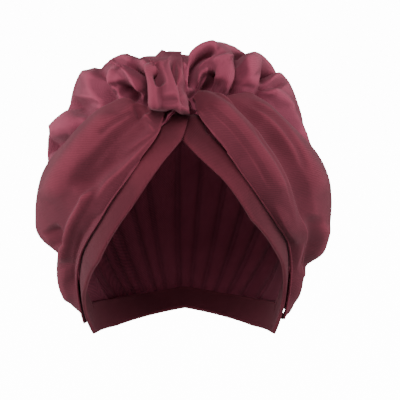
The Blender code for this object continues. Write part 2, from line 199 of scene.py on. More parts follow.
def halve(inside, outside, is_inside):
    """Where is_inside stops being true, for arrays of inner and outer values."""
    inside = np.asarray(inside, float)
    outside = np.asarray(outside, float)
    for _ in range(HALVINGS):
        middle = (inside + outside) / 2
        held = is_inside(middle)
        inside = np.where(held, middle, inside)
        outside = np.where(held, outside, middle)
    return inside


def edge_point(turn, side):
    """Points of the face edge on the head. Past the front centre an arm climbs straight."""
    past = side * turn < 0
    drop = np.where(past, edge_drop(0.0) - LAP_CLIMB * np.abs(turn), edge_drop(turn))
    angle = np.radians(turn)
    flat = np.stack([np.sin(angle), -np.cos(angle), np.zeros_like(angle)], axis=-1)
    down = np.stack([np.zeros_like(drop), np.zeros_like(drop), -drop], axis=-1)

    def within(reach):
        offset = flat * reach[..., None] + down - CENTRE
        return np.linalg.norm(offset, axis=-1) < head_radius(unit(offset))

    reach = halve(np.zeros_like(angle), np.full_like(angle, 2 * HEAD_HALF_D), within)
    return flat * reach[..., None] + down


def band_place(across, along):
    """From under the knot at the right, round the nape, to the left end over the right."""
    turn = -BAND_LAP_TURN + (360 + 2 * BAND_LAP_TURN) * along
    side = np.where(turn < 180, 1, -1)
    here = np.where(turn < 180, turn, turn - 360)
    point = edge_point(here, side)
    ahead = edge_point(here + BAND_EASE_DEG, side) - edge_point(here - BAND_EASE_DEG, side)
    outward = unit(point - CENTRE)
    upward = unit(np.cross(outward, ahead))
    spot = point + upward * (BAND_WIDTH * across)[..., None]
    rise = np.where(side < 0, LAP_RISE * smooth((here + LAP_TURNS[1]) / LAP_TURNS[0]), 0.0)
    edge = np.clip(np.abs(2 * across - 1) * (1 + BAND_FLAT) - BAND_FLAT, 0, 1)
    swell = BAND_SWELL * (1 - edge ** BAND_SWELL_POWER)
    return on_head(unit(spot - CENTRE), BAND_OFF_HEAD + BAND_THICK - BAND_SWELL + rise + swell)


# The cloth's colour is painted by its bends, as painted shade down in creases and painted
# highlight on crests: how sharp a bend is at half strength, each way, how far the eye looks
# round it, and how wide the painted highlight along a hem is
SHARP_BEND = 420.0
SHARP_LIMIT = 900.0
SHARP_PASSES = 3
WIDE_BEND = 0.0032
WIDE_PASSES = 160
HEM_HIGHLIGHT = 0.0007
LEAST_STEP = 1e-5
TINY = 1e-12
EVEN_POWER = 4


def net_normals(net):
    """Outward directions square to a net of points, given row by row."""
    down = np.gradient(net, axis=0)
    side = np.gradient(net, axis=1)
    square = np.cross(side, down)
    square /= np.linalg.norm(square, axis=2, keepdims=True) + TINY
    facing = np.sum(square * (net - CENTRE), axis=2, keepdims=True)
    return square * np.sign(np.mean(facing))


def soften(field, passes):
    """A field on a net, each value drawn toward its neighbours a number of times."""
    for _ in range(passes):
        padded = np.pad(field, 1, mode="edge")
        field = (padded[:-2, 1:-1] + padded[2:, 1:-1] + padded[1:-1, :-2] + padded[1:-1, 2:]
                 + 2 * padded[1:-1, 1:-1]) / 6
    return field


def bend_of(net):
    """How sharply a net bends: near 1 on the crest of a fold, near 0 down in a crease."""
    outward = net_normals(net)
    total = np.zeros(net.shape[:2])
    turned = (np.swapaxes(net, 0, 1), np.swapaxes(outward, 0, 1), total.T)
    for lines, square, bend in ((net, outward, total), turned):
        step = np.diff(lines, axis=0)
        size = np.linalg.norm(step, axis=2, keepdims=True) + LEAST_STEP
        change = np.diff(step / size, axis=0)
        room = (size[1:] + size[:-1])[..., 0] / 2
        bend[1:-1] -= np.sum(change * square[1:-1], axis=2) / room
    around = np.stack([soften(net[..., k], WIDE_PASSES) for k in range(3)], axis=-1)
    proud = np.sum((net - around) * outward, axis=2)
    sharp = soften(np.clip(total, -SHARP_LIMIT, SHARP_LIMIT), SHARP_PASSES)
    return 0.5 + 0.5 * np.tanh(sharp / SHARP_BEND + proud / WIDE_BEND)


def lengths_along(net, axis):
    """How far each point of a net lies along its line from the line's first point."""
    steps = np.linalg.norm(np.diff(net, axis=axis), axis=2)
    return np.pad(np.cumsum(steps, axis=axis), ((1, 0), (0, 0)) if axis == 0 else ((0, 0), (1, 0)))


def even_cloth(net):
    """The cloth's own coordinates on a net in metres, evened out so that ribs run smoothly."""
    cells = net.shape[1] - 1
    width = lengths_along(net, 1)
    length = lengths_along(net, 0)
    from_middle = width - width[:, cells // 2:cells // 2 + 1]
    wide = width[:, -1:]
    columns = np.arange(cells + 1)
    long = np.polyval(np.polyfit(columns, length[-1], EVEN_POWER), columns)
    woven_width = wide * np.mean(from_middle / wide, axis=0)
    woven_length = np.mean(length / length[-1], axis=1)[:, None] * long
    return np.stack([woven_width.ravel(), woven_length.ravel()], axis=1)


def hem_of(net):
    """Near 1 at the two long edges of a net, and 0 a little way in."""
    width = lengths_along(net, 1)
    return np.exp(-np.minimum(width, width[:, -1:] - width) / HEM_HIGHLIGHT)


def grid_sheet(name, cells, rows, place, thickness):
    """A fine grid shaped by place(across, along) and made a closed sheet, its UV in metres."""
    bpy.ops.object.select_all(action="DESELECT")
    bpy.ops.mesh.primitive_grid_add(x_subdivisions=cells, y_subdivisions=rows, size=2)
    sheet = bpy.context.object
    sheet.name = name
    sheet.data.name = name
    mesh = sheet.data
    count = len(mesh.vertices)
    flat = np.empty(count * 3)
    mesh.vertices.foreach_get("co", flat)
    flat = flat.reshape(-1, 3)
    points = place((flat[:, 0] + 1) / 2, (flat[:, 1] + 1) / 2)
    mesh.vertices.foreach_set("co", points.ravel())
    net = points.reshape(rows + 1, cells + 1, 3)
    corner = np.empty(len(mesh.loops), dtype=np.int32)
    mesh.loops.foreach_get("vertex_index", corner)
    mesh.uv_layers[0].data.foreach_set("uv", even_cloth(net)[corner].ravel())
    # The bend carries painted shade down in creases and painted highlight on crests and hems
    bend = mesh.attributes.new("bend", "FLOAT", "POINT")
    bend.data.foreach_set("value", np.maximum(bend_of(net), 0.5 + 0.5 * hem_of(net)).ravel())
    mesh.update()
    outward = sum((face.center - Vector(CENTRE)).dot(face.normal) for face in mesh.polygons)
    if outward < 0:
        mesh.flip_normals()
    shell = sheet.modifiers.new("cloth", "SOLIDIFY")
    shell.thickness = thickness
    shell.offset = -1
    bpy.ops.object.modifier_apply(modifier=shell.name)
    bpy.ops.object.shade_smooth()
    return sheet


# Base colour's share by the bend: painted shade down in a crease, plain over flat cloth, and
# painted highlight on a crest and along a hem
PAINTED_SHADE_AND_HIGHLIGHT = ((0.12, (.42, .38, .38)), (0.45, (1.0, 1.0, 1.0)), (0.80, (1.04, 1.04, 1.04)),
               (0.97, (1.5, 1.45, 1.45)))
RIBS_A_METRE = 290.0
RIB_SLOPE_DEG = 40.0
GRAIN_SCALE = 1400.0
GRAIN_SHARE = 0.6
PATCH_SCALE = 45.0
WEAVE_SHARE = 0.45


def jersey_group():
    """Fine diagonal jersey: a height for the bump and a soft uneven shade."""
    group = bpy.data.node_groups.new("jersey", "ShaderNodeTree")
    group.interface.new_socket("Ribs a metre", in_out="INPUT", socket_type="NodeSocketFloat")
    group.interface.new_socket("Height", in_out="OUTPUT", socket_type="NodeSocketFloat")
    group.interface.new_socket("Shade", in_out="OUTPUT", socket_type="NodeSocketFloat")
    nodes = group.nodes
    links = group.links
    given = nodes.new("NodeGroupInput")
    out = nodes.new("NodeGroupOutput")
    uv = nodes.new("ShaderNodeTexCoord")
    slope = nodes.new("ShaderNodeMapping")
    slope.inputs["Rotation"].default_value = (0, 0, math.radians(RIB_SLOPE_DEG))
    links.new(uv.outputs["UV"], slope.inputs["Vector"])
    ribs = nodes.new("ShaderNodeTexWave")
    ribs.wave_type = "BANDS"
    ribs.inputs["Distortion"].default_value = 0.4
    ribs.inputs["Detail"].default_value = 2.0
    ribs.inputs["Detail Scale"].default_value = 1.5
    links.new(slope.outputs["Vector"], ribs.inputs["Vector"])
    links.new(given.outputs["Ribs a metre"], ribs.inputs["Scale"])
    grain = nodes.new("ShaderNodeTexNoise")
    grain.inputs["Scale"].default_value = GRAIN_SCALE
    grain.inputs["Detail"].default_value = 3.0
    links.new(uv.outputs["UV"], grain.inputs["Vector"])
    join = nodes.new("ShaderNodeMath")
    join.operation = "MULTIPLY_ADD"
    join.inputs[1].default_value = GRAIN_SHARE
    links.new(grain.outputs["Fac"], join.inputs[0])
    links.new(ribs.outputs["Fac"], join.inputs[2])
    links.new(join.outputs["Value"], out.inputs["Height"])
    place = nodes.new("ShaderNodeTexCoord")
    patches = nodes.new("ShaderNodeTexNoise")
    patches.inputs["Scale"].default_value = PATCH_SCALE
    patches.inputs["Detail"].default_value = 4.0
    links.new(place.outputs["Object"], patches.inputs["Vector"])
    blend = nodes.new("ShaderNodeMath")
    blend.operation = "MULTIPLY_ADD"
    blend.inputs[1].default_value = WEAVE_SHARE
    links.new(join.outputs["Value"], blend.inputs[0])
    links.new(patches.outputs["Fac"], blend.inputs[2])
    links.new(blend.outputs["Value"], out.inputs["Shade"])
    return group


JERSEY = jersey_group()

# The colour sockets of a Mix node, by number because three kinds share their names
MIX_A = 6
MIX_B = 7
MIX_RESULT = 2


def jersey_material(name, dark, light):
    """Matte jersey in two near shades, with fine ribs and a faint bloom of fuzz."""
    material = bpy.data.materials.new(name)
    material.use_nodes = True
    nodes = material.node_tree.nodes
    links = material.node_tree.links
    shader = nodes["Principled BSDF"]
    weave = nodes.new("ShaderNodeGroup")
    weave.node_tree = JERSEY
    weave.inputs["Ribs a metre"].default_value = RIBS_A_METRE
    ramp = nodes.new("ShaderNodeValToRGB")
    ramp.color_ramp.elements[0].position = 0.35
    ramp.color_ramp.elements[0].color = (*dark, 1)
    ramp.color_ramp.elements[1].position = 1.0
    ramp.color_ramp.elements[1].color = (*light, 1)
    links.new(weave.outputs["Shade"], ramp.inputs["Fac"])
    fold = nodes.new("ShaderNodeAttribute")
    fold.attribute_name = "bend"
    # Painted shade in creases and painted highlight on crests and hems, read from the bend
    painted_light = nodes.new("ShaderNodeValToRGB")
    stops = painted_light.color_ramp.elements
    stops.remove(stops[1])
    stops[0].position = PAINTED_SHADE_AND_HIGHLIGHT[0][0]
    stops[0].color = (*PAINTED_SHADE_AND_HIGHLIGHT[0][1], 1)
    for spot, shade in PAINTED_SHADE_AND_HIGHLIGHT[1:]:
        stops.new(spot).color = (*shade, 1)
    links.new(fold.outputs["Fac"], painted_light.inputs["Fac"])
    tone = nodes.new("ShaderNodeMix")
    tone.data_type = "RGBA"
    tone.blend_type = "MULTIPLY"
    tone.inputs["Factor"].default_value = 1.0
    links.new(ramp.outputs["Color"], tone.inputs[MIX_A])
    links.new(painted_light.outputs["Color"], tone.inputs[MIX_B])
    links.new(tone.outputs[MIX_RESULT], shader.inputs["Base Color"])
    bump = nodes.new("ShaderNodeBump")
    bump.inputs["Strength"].default_value = 0.35
    bump.inputs["Distance"].default_value = 0.0003
    links.new(weave.outputs["Height"], bump.inputs["Height"])
    links.new(bump.outputs["Normal"], shader.inputs["Normal"])
    shader.inputs["Roughness"].default_value = 0.9
    shader.inputs["Specular IOR Level"].default_value = 0.15
    shader.inputs["Sheen Weight"].default_value = 0.10
    shader.inputs["Sheen Roughness"].default_value = 0.5
    shader.inputs["Sheen Tint"].default_value = (0.9, 0.55, 0.62, 1)
    return material


# The band's shades are the one jersey painted darkest, as painted shade where the knot and drapes overhang
# it
BAND_PAINTED_SHADE_TONES = ((.043, .0062, .0108), (.072, .0110, .0186))
face_band = grid_sheet("band_cloth", BAND_CELLS, BAND_ROWS, band_place, BAND_THICK - BAND_SLACK)
face_band.data.materials.append(jersey_material("band_jersey", *BAND_PAINTED_SHADE_TONES))
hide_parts("face_band")
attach(face_band, "root")

# The crown. One wide piece of jersey gathered into the knot, its pleats spreading over the
# top of the head and dying out down the back to the nape, where it is sewn to the band.
FULL_LIFT = 0.037
WALL = 0.0016
CROWN_OFF_BAND = 0.0010
# The crown's shades are the one jersey painted lightest, as painted light on the gathers facing the light
# over the top
CROWN_PAINTED_LIGHT_TONES = ((.106, .0193, .0343), (.160, .0308, .0532))
CELLS_A_PLEAT = 19
CROWN_ROWS = 150
HEM_OVER = 0.8
HEM_SEARCH = (0.3, 1.0)

# Runs at which the pleat table gives its fan angles and crests
STATIONS = (0.17, 0.25, 0.50, 1.0)

# A row for each pleat from the left edge over the top to the right edge: the angle round the
# knot at which it starts on the front view, the fan angle of its left crease at each station,
# its crest at each station as a share of FULL_LIFT, and how far its left crease falls.
PLEATS = (
    ("left edge", 222, (196, 191, 188, 180), (.30, .34, .46, .14), .20),
    ("low roll", 205, (182, 172, 165, 162), (.36, .44, .58, .14), .22),
    ("left pouf", 181, (166, 154, 149, 150), (.50, .60, .62, .14), .26),
    ("pouf rim", 167, (150, 143, 139, 138), (.56, .62, .58, .14), .20),
    ("pouf leg", 155, (143, 137, 131, 131), (.58, .60, .60, .14), .24),
    ("tab side", 144, (135, 129, 124, 123), (.60, .62, .56, .14), .22),
    ("tab back", 134, (122, 118, 114, 113), (.60, .60, .58, .14), .26),
    ("narrow fold", 112, (101, 102, 104, 105), (.56, .57, .54, .14), .20),
    ("ear rim", 88, (87, 89, 92, 95), (.60, .61, .59, .14), .26),
    ("ear fold", 73, (77, 80, 83, 86), (.60, .60, .55, .14), .18),
    ("ear face", 60, (62, 69, 73, 77), (.60, .61, .59, .14), .22),
    ("right lobe", 44.5, (48, 56, 62, 67), (.60, .62, .56, .14), .24),
    ("far lobe", 23, (27, 42, 50, 57), (.56, .62, .64, .14), .24),
    ("far roll", 5, (14, 29, 37, 46), (.46, .56, .64, .14), .22),
    ("under drape", -12, (4, 14, 23, 32), (.36, .44, .58, .14), .20),
    ("right low", -28, (-6, 3, 8, 14), (.31, .36, .48, .14), .14),
)
RIGHT_EDGE = (-46, (-16, -9, -8, -2))
PLEAT_POWER = 0.75
CUT_FADE = 0.35
CREASE_NUDGE = 1e-6
HEM_FANS = np.arange(-20.0, 205.0, 5.0)
HEM_RUNS = halve(np.full(len(HEM_FANS), HEM_SEARCH[0]), np.full(len(HEM_FANS), HEM_SEARCH[1]),
                 lambda run: over_edge(HEM_FANS, run) > HEM_OVER)

# The front view is the camera's: what it aims at, from how far, and how far down it looks
VIEW_AIM = np.array([0.012, 0.0, -0.084])
VIEW_REACH = 1.3
VIEW_TILT_DEG = 4.0

# Where the gathers start on it, how far forward, and how deep and wide they dip at the knot
KNOT_SEEN = (-9.0, 71.5)
KNOT_FORWARD = 93.0
KNOT_DIP = (13.0, 17.0)

# The gathers swell out of the knot to an uneven outline. It is given by the angle round the
# knot, the reach from the knot in millimetres on the front view, and how far forward of the
# middle the outline stands, in millimetres.
OUTLINE = (
    (-46, 112, 0), (-34, 112, 2), (-23, 107, 5), (-17, 98, 7), (-10, 89, 9), (-2, 80.5, 11), (5, 77, 12),
    (10, 75, 13), (15, 73, 14), (18, 70.5, 15), (21, 65, 18), (23, 60.5, 24), (27, 62, 26), (34, 64.5, 26),
    (38, 63.5, 28), (41, 57, 32), (44.5, 50, 38), (48, 50, 42), (52, 51.2, 44), (58, 51.5, 45), (65, 50, 46),
    (71, 48, 47), (77, 44.5, 49), (83, 41, 50), (88, 34.5, 44), (92, 34, 42), (102, 35, 41), (111, 37, 41),
    (120, 39, 42), (125, 42, 42), (129, 43.6, 42), (134, 46.5, 42), (137, 53, 40), (140, 58.5, 38),
    (144.5, 62, 36), (149.5, 63.5, 34), (154, 64, 30), (158, 73, 24), (161, 78.5, 20), (165, 80.5, 17),
    (170.5, 80.5, 15), (175, 81.5, 14), (180, 83, 14), (184.5, 92, 14), (188, 99, 14), (191.5, 105, 14),
    (194.5, 105, 13), (197, 103.5, 12), (200, 109, 10), (205, 117, 8), (213, 119, 5), (222, 114, 0),
)

# Folds raised on the gathers or pressed into them, a row for each: its half width and its
# height in millimetres, out or in, then the points that it runs through on the front view
CROWN_FOLDS = (
    ("pouf crease", 8, -8.5, ((-69, 98), (-73, 91), (-72, 84), (-68, 76), (-66, 66))),
    ("pouf swell", 15, 4.0, ((-80, 96), (-83, 84), (-84, 72))),
    ("roll crease", 7, -7.0, ((-96, 72), (-88, 68), (-78, 62), (-70, 58))),
    ("low roll", 10, 4.5, ((-110, 49), (-102, 56), (-92, 62))),
    ("roll under", 7, -5.0, ((-112, 40), (-104, 40), (-94, 44))),
    ("under knot", 15, -7.0, ((-28, 66), (-24, 78), (-23, 90), (-24, 98))),
    ("rolled edge", 5, 4.5, ((-36, 92), (-40, 97.5), (-47, 102), (-55, 104), (-61, 101), (-64, 97))),
    ("strip crease", 3.5, -2.0, ((-42, 102), (-47, 105), (-54, 107))),
    ("lobe body", 12, 4.5, ((-59, 101), (-61, 92), (-60, 86))),
    ("lobe left limb", 5.5, 3.5, ((-65, 95), (-67, 87), (-66, 80))),
    ("lobe leg", 5, 6.5, ((-58, 97), (-52, 93), (-48, 87), (-44.5, 79))),
    ("lobe hollow", 6.5, -10.0, ((-60, 83), (-55, 82), (-50, 79), (-47, 73))),
    ("lobe valley", 5, -8.0, ((-52, 103), (-46, 97), (-40, 90), (-38, 80), (-38, 68))),
    ("narrow fold", 3.5, 3.0, ((-12.5, 103), (-12, 94), (-10.5, 84), (-9, 74))),
    ("ear rim", 3.5, 3.5, ((-8, 88), (-8, 97), (-5, 107), (1, 112.5), (8, 115), (14, 115))),
    ("ear crescent", 4, -9.0, ((-6, 80), (-6.3, 90), (-5, 99), (-1, 104.5), (5, 109), (12, 112))),
    ("ear inner fold", 4, 5.0, ((-5, 80), (-3, 87), (0, 93), (4, 96), (9, 97))),
    ("ear slit", 3.6, -11.0, ((9.5, 96), (8, 90), (5, 84), (1, 77), (-2, 70))),
    ("ear face", 10, 4.5, ((14, 108), (17, 98), (15, 86))),
    ("ear edge", 6, 3.0, ((21, 109), (23, 99), (22.5, 89), (17, 80))),
    ("ear step", 5.5, -8.0, ((29, 110), (29, 100), (29.5, 92), (27, 84), (21, 75))),
    ("right lobe", 11, 4.5, ((37, 108), (38, 97), (35, 84))),
    ("right step", 5.5, -7.0, ((48.5, 100), (49, 90), (46, 81), (41, 74))),
    ("far swell", 7, 3.0, ((54, 94), (61, 88), (66, 77), (71, 66))),
    ("far hollow", 5, -7.0, ((49, 82), (53, 86), (58, 87), (61, 84))),
    ("far ridge", 4.5, 3.5, ((51, 84), (58, 78), (66, 67), (74, 53), (80, 40))),
    ("far crease", 7, -5.0, ((46, 79), (53, 73), (63, 62), (73, 47))),
    ("side crease", 5, -2.5, ((66, 78), (74, 66), (82, 50), (88, 34))),
)
FOLD_POINTS = 20
FOLD_ENDS = (0.15, 5.0)
NOT_FOUND = 9.0


def front_view(points):
    """Millimetres across and up at which points show from the front, from the view's middle."""
    tilt = math.radians(VIEW_TILT_DEG)
    toward = np.array([0.0, -math.cos(tilt), math.sin(tilt)])
    upward = np.array([0.0, math.sin(tilt), math.cos(tilt)])
    off = points - VIEW_AIM
    share = 1000 * VIEW_REACH / (VIEW_REACH - off @ toward)
    return np.stack([off[..., 0] * share, (off @ upward) * share], axis=-1)


def seen_at(across, up, forward):
    """Points that show at places on the front view, so far forward. All in millimetres."""
    tilt = math.radians(VIEW_TILT_DEG)
    y = -forward / 1000
    ray_y = VIEW_REACH * math.cos(tilt) + up / 1000 * math.sin(tilt)
    part = (y + VIEW_REACH * math.cos(tilt)) / ray_y
    x = VIEW_AIM[0] + across / 1000 * part
    z = VIEW_AIM[2] + VIEW_REACH * math.sin(tilt) * (1 - part) + up / 1000 * math.cos(tilt) * part
    return np.stack([x, np.broadcast_to(y, np.shape(x)), z], axis=-1)


def through(points, share):
    """Points at shares of the way along a smooth line through the given ones."""
    steps = np.linspace(0, 1, len(points))
    return np.stack([curve(share, steps, column) for column in np.transpose(points)], axis=-1)


def from_line(seen, line):
    """Distance of points from a line, and the share of the line at which it is met."""
    best = np.full(len(seen), np.inf)
    where = np.zeros(len(seen))
    for k in range(len(line) - 1):
        step = line[k + 1] - line[k]
        off = seen - line[k]
        along = np.clip(off @ step / (step @ step + TINY), 0, 1)
        gap = np.hypot(off[:, 0] - along * step[0], off[:, 1] - along * step[1])
        closer = gap < best
        best = np.where(closer, gap, best)
        where = np.where(closer, (k + along) / (len(line) - 1), where)
    return best, where


def pressed(points, folds):
    """How far points move out, or in, for folds laid where they show from the front."""
    seen = front_view(points)
    moved = np.zeros(len(points))
    for name, width, height, stations in folds:
        line = through(stations, np.linspace(0, 1, FOLD_POINTS))
        middle = line.mean(axis=0)
        reach = np.max(np.abs(line - middle)) + width
        near = np.max(np.abs(seen - middle), axis=1) < reach
        gap, share = from_line(seen[near], line)
        q = np.clip(gap / width, 0, 1)
        form = (1 - q * q) ** 2 if height > 0 else (1 - q) ** 1.5 * (1 + 1.5 * q)
        ends = smooth(np.minimum(share, 1 - share) * FOLD_ENDS[1] + FOLD_ENDS[0])
        moved[near] += height / 1000 * form * ends
    return moved


def soft_normals(net, passes):
    """Outward directions of a net, evened out so that deep folds do not cross themselves."""
    square = net_normals(net)
    even = np.stack([soften(square[..., k], passes) for k in range(3)], axis=-1)
    return unit(even.reshape(-1, 3))


def spread_out(amount, rows, wide, soft):
    """Amounts on a net of points made wider by a few cells and then soft."""
    field = amount.reshape(rows + 1, -1)
    for _ in range(wide):
        padded = np.pad(field, 1, mode="edge")
        field = np.max([padded[i:i + field.shape[0], j:j + field.shape[1]]
                        for i in range(3) for j in range(3)], axis=0)
    return soften(field, soft).ravel()


def hem_run(fan):
    return np.interp(fan, HEM_FANS, HEM_RUNS)


def pleat_fans(run):
    fans = [curve(run, STATIONS, row[2]) for row in PLEATS]
    return fans + [curve(run, STATIONS, RIGHT_EDGE[1])]


def pleat_lift(pleat, t, run):
    """Lift of the crown inside one pleat, t across it from one crease to the next."""
    row = PLEATS[pleat]
    after = PLEATS[min(pleat + 1, len(PLEATS) - 1)]
    before = PLEATS[max(pleat - 1, 0)]
    crest = curve(run, STATIONS, row[3])
    fade = 1 - CUT_FADE * smooth((run - STATIONS[1]) / (STATIONS[3] - STATIONS[1]))
    low_a = np.minimum(crest, curve(run, STATIONS, before[3])) * (1 - row[4] * fade)
    low_b = np.minimum(crest, curve(run, STATIONS, after[3])) * (1 - after[4] * fade)
    low = low_a + (low_b - low_a) * t
    return FULL_LIFT * (low + (crest - low) * np.sin(math.pi * np.clip(t, 0, 1)) ** PLEAT_POWER)


def off_band(direction, run, clear):
    """Least lift of a sheet's outside that clears the band under it."""
    clear = BAND_OFF_HEAD + BAND_THICK + WALL + clear
    turn = np.degrees(np.arctan2(np.abs(direction[..., 0]), -direction[..., 1]))
    over_lap = (1 - smooth((run - LAP_RUN) / LAP_RUN)) * (1 - smooth((turn - LAP_TURNS[1]) / LAP_FADE_DEG))
    return (clear + LAP_RISE * over_lap) * slant(direction)


# The crown dips under the drapes, so their lie is given here: a row for each cross line from
# the band up to the top fold, with the run and the height over the edge, as a share of
# BAND_WIDTH, of its low end, the fan and run of its top end, then four lifts, as shares of
# FULL_LIFT. The fans after the tables are where a low end is looked for.
LEFT_DRAPE = (
    (.046, 1.62, 203, .074, .36, .36, .38, .38),
    (.100, 1.36, 190, .098, .34, .41, .48, .47),
    (.138, 1.17, 180, .118, .32, .46, .58, .60),
    (.191, 1.20, 179, .169, .28, .48, .62, .62),
    (.239, 1.18, 180, .229, .16, .49, .65, .62),
    (.311, 1.20, 180, .295, .16, .50, .69, .65),
    (.403, 1.22, 174, .370, .16, .52, .78, .73),
    (.470, 1.25, 169, .440, .16, .56, .86, .82),
    (.523, 1.25, 165, .510, .16, .60, .91, .86),
    (.560, 1.20, 163, .560, .16, .58, .90, .82),
    (.595, 1.10, 162, .605, .16, .48, .56, .66),
    (.645, .95, 161, .665, .16, .58, .60, .54),
    (.710, .68, 160, .755, .17, .52, .42, .32),
    (.762, .36, 158, .855, .16, .20, .21, .20),
)
RIGHT_FRONT_DRAPE = (
    (.022, 1.62, 38, .036, .36, .42, .42, .38),
    (.054, 1.40, 5, .075, .36, .51, .57, .48),
    (.118, 1.20, -14, .116, .35, .52, .62, .54),
    (.170, 1.10, -21, .175, .30, .49, .60, .54),
    (.249, 1.10, -23, .254, .16, .44, .56, .54),
    (.346, 1.00, -24, .323, .16, .41, .53, .54),
    (.425, .88, -22, .400, .16, .38, .50, .54),
    (.475, .92, -19, .462, .16, .36, .47, .51),
    (.523, .95, -15, .530, .16, .34, .44, .48),
    (.580, .94, -10, .600, .16, .33, .43, .47),
    (.640, .85, -5, .660, .16, .34, .46, .48),
    (.695, .75, -3, .720, .18, .36, .46, .44),
    (.757, .40, 3, .800, .16, .20, .22, .22),
)
RIGHT_BACK_DRAPE = (
    (.070, 2.26, 0, .080, .36, .40, .44, .44),
    (.110, 2.29, 7, .106, .32, .40, .54, .54),
    (.160, 2.16, 12, .140, .28, .42, .60, .60),
    (.200, 2.05, 8, .172, .27, .48, .63, .60),
    (.250, 1.97, 3, .215, .26, .49, .65, .60),
    (.320, 1.46, 3, .270, .26, .50, .70, .62),
    (.390, 1.10, 6, .330, .26, .54, .77, .68),
    (.450, 1.00, 12, .400, .26, .64, .84, .75),
    (.500, 1.10, 18, .470, .26, .74, .90, .80),
    (.550, 1.40, 20, .540, .24, .78, .90, .80),
    (.600, 1.53, 20, .610, .22, .72, .80, .70),
    (.650, 1.77, 20, .690, .22, .56, .60, .52),
    (.700, 1.67, 21, .760, .22, .50, .44, .34),
    (.755, 1.20, 22, .828, .22, .30, .30, .28),
)
LEFT_LOW_FANS = (150, 269)
RIGHT_LOW_FANS = (30, -89)
DRAPE_LINES = 121
DRAPE_SLACK = 0.02


def cross_lines(table, fans):
    """A drape's rows with the fan of each low end worked out from its height over the edge."""
    rows = np.array(table)
    low = halve(np.full(len(rows), fans[0]), np.full(len(rows), fans[1]),
                lambda fan: over_edge(fan, rows[:, 0]) > rows[:, 1])
    return np.column_stack([low, rows[:, 0], rows[:, 2:]])


def across_four(s, lifts):
    """A smooth curve through four lifts at even steps, lifts given as four arrays."""
    a, b, c, d = lifts
    slopes = ((b - a) * 3, (c - a) * 1.5, (d - b) * 1.5, (d - c) * 3)
    values = (a, b, c, d)
    result = np.zeros_like(s)
    for i in range(3):
        t = s * 3 - i
        part = ((2 * t ** 3 - 3 * t * t + 1) * values[i] + (t ** 3 - 2 * t * t + t) * slopes[i] / 3
                + (3 * t * t - 2 * t ** 3) * values[i + 1] + (t ** 3 - t * t) * slopes[i + 1] / 3)
        inside = (t >= 0) if i == 2 else ((t >= 0) & (t < 1))
        result = np.where(inside, part, result)
    return result


def drape_lift_at(rows):
    """Lift of a drape's outside at fan angles and runs, taken from its cross lines."""
    steps = np.linspace(0, 1, len(rows))
    fine = np.linspace(0, 1, DRAPE_LINES)
    lines = np.array([curve(fine, steps, column) for column in rows.T])

    def lift_at(fan, run):
        shape = np.shape(fan)
        fan = np.ravel(fan)[:, None]
        run = np.ravel(run)[:, None]
        s = (fan - lines[0]) / (lines[2] - lines[0])
        off = np.abs(lines[1] + (lines[3] - lines[1]) * s - run)
        off = np.where((s < -DRAPE_SLACK) | (s > 1 + DRAPE_SLACK), NOT_FOUND, off)
        near = np.argmin(off, axis=1)
        pick = np.arange(len(near))
        share = np.clip(s[pick, near], 0, 1)
        lift = FULL_LIFT * across_four(share, [lines[k][near] for k in range(4, 8)])
        return np.where(off[pick, near] > DRAPE_SLACK, 0.0, lift).reshape(shape)

    return lift_at


left_rows = cross_lines(LEFT_DRAPE, LEFT_LOW_FANS)
front_rows = cross_lines(RIGHT_FRONT_DRAPE, RIGHT_LOW_FANS)
back_rows = cross_lines(RIGHT_BACK_DRAPE, RIGHT_LOW_FANS)

# How the crown dips under the drapes' top edges and lies a little below the drapes: the share
# of an edge that it heeds, the points on it, at its tip and low down, and the room it leaves
TUCK_EDGE = 0.8
TUCK_POINTS = 70
TUCK_TIP_POINTS = 12
TUCK_LOW_EDGE = 0.15
TUCK_SLOPE = 1.5
TUCK_GAP = 0.0036
TUCK_REACH = 0.105
TUCK_SOFT = 0.006
DRAPE_ROOM = 0.008
DRAPE_ROOM_FADE = 0.012


def tucked(points, lift):
    """Lifts of the crown once it dips under the drapes' top edges."""
    direction = unit(points - CENTRE)
    fan, run = fan_and_run(direction)
    for rows in (left_rows, back_rows, front_rows):
        steps = np.linspace(0, 1, len(rows))
        fine = np.linspace(0, TUCK_EDGE, TUCK_POINTS)
        line = [curve(fine, steps, column) for column in rows.T]
        tip = np.linspace(0, 1, TUCK_TIP_POINTS)
        low = fine < TUCK_LOW_EDGE
        edge_fan = np.concatenate([line[2], rows[0, 0] + (rows[0, 2] - rows[0, 0]) * tip, line[0][low]])
        edge_run = np.concatenate([line[3], rows[0, 1] + (rows[0, 3] - rows[0, 1]) * tip, line[1][low]])
        tip_lift = across_four(tip, [np.full(TUCK_TIP_POINTS, value) for value in rows[0, 4:]])
        edge_lift = FULL_LIFT * np.concatenate([line[7], tip_lift, line[4][low]])
        edge_way = fan_direction(edge_fan, edge_run)
        gap = np.full(len(points), NOT_FOUND)
        there = np.zeros(len(points))
        for k in range(len(edge_lift)):
            far = np.linalg.norm(direction - edge_way[k], axis=1) * TUCK_REACH
            there = np.where(far < gap, edge_lift[k], there)
            gap = np.minimum(gap, far)
        inner = drape_lift_at(rows)(fan, run)
        inner = np.where(inner > 0, inner - DRAPE_ROOM * smooth(gap / DRAPE_ROOM_FADE), 0)
        cap = np.where(inner > 0, inner, there + TUCK_SLOPE * gap) - TUCK_GAP
        near = np.maximum(TUCK_SOFT - np.abs(lift - cap), 0) / TUCK_SOFT
        lift = np.minimum(lift, cap) - near * near * TUCK_SOFT / 4
    return lift


# The crown's front part shows from the knot to the outline, and its back part follows the
# pleats from there to the hem. Its edges past two angles gather under the drapes' tips, over
# so many millimetres, and the folds fade behind the outline and close to the knot.
FRONT_SHARE = 0.62
START_SHARE = 0.05
EDGE_GATHER = (186, -8, 38.0)
TABLE_BLEND = 0.3
LIFT_BLEND = 0.2
BLEND_ROUNDS = 3
TUCK_PASSES = 6
FOLD_PASSES = 60
FOLD_FADE = 0.03
GATHER_CALM = (9.0, 9.0)


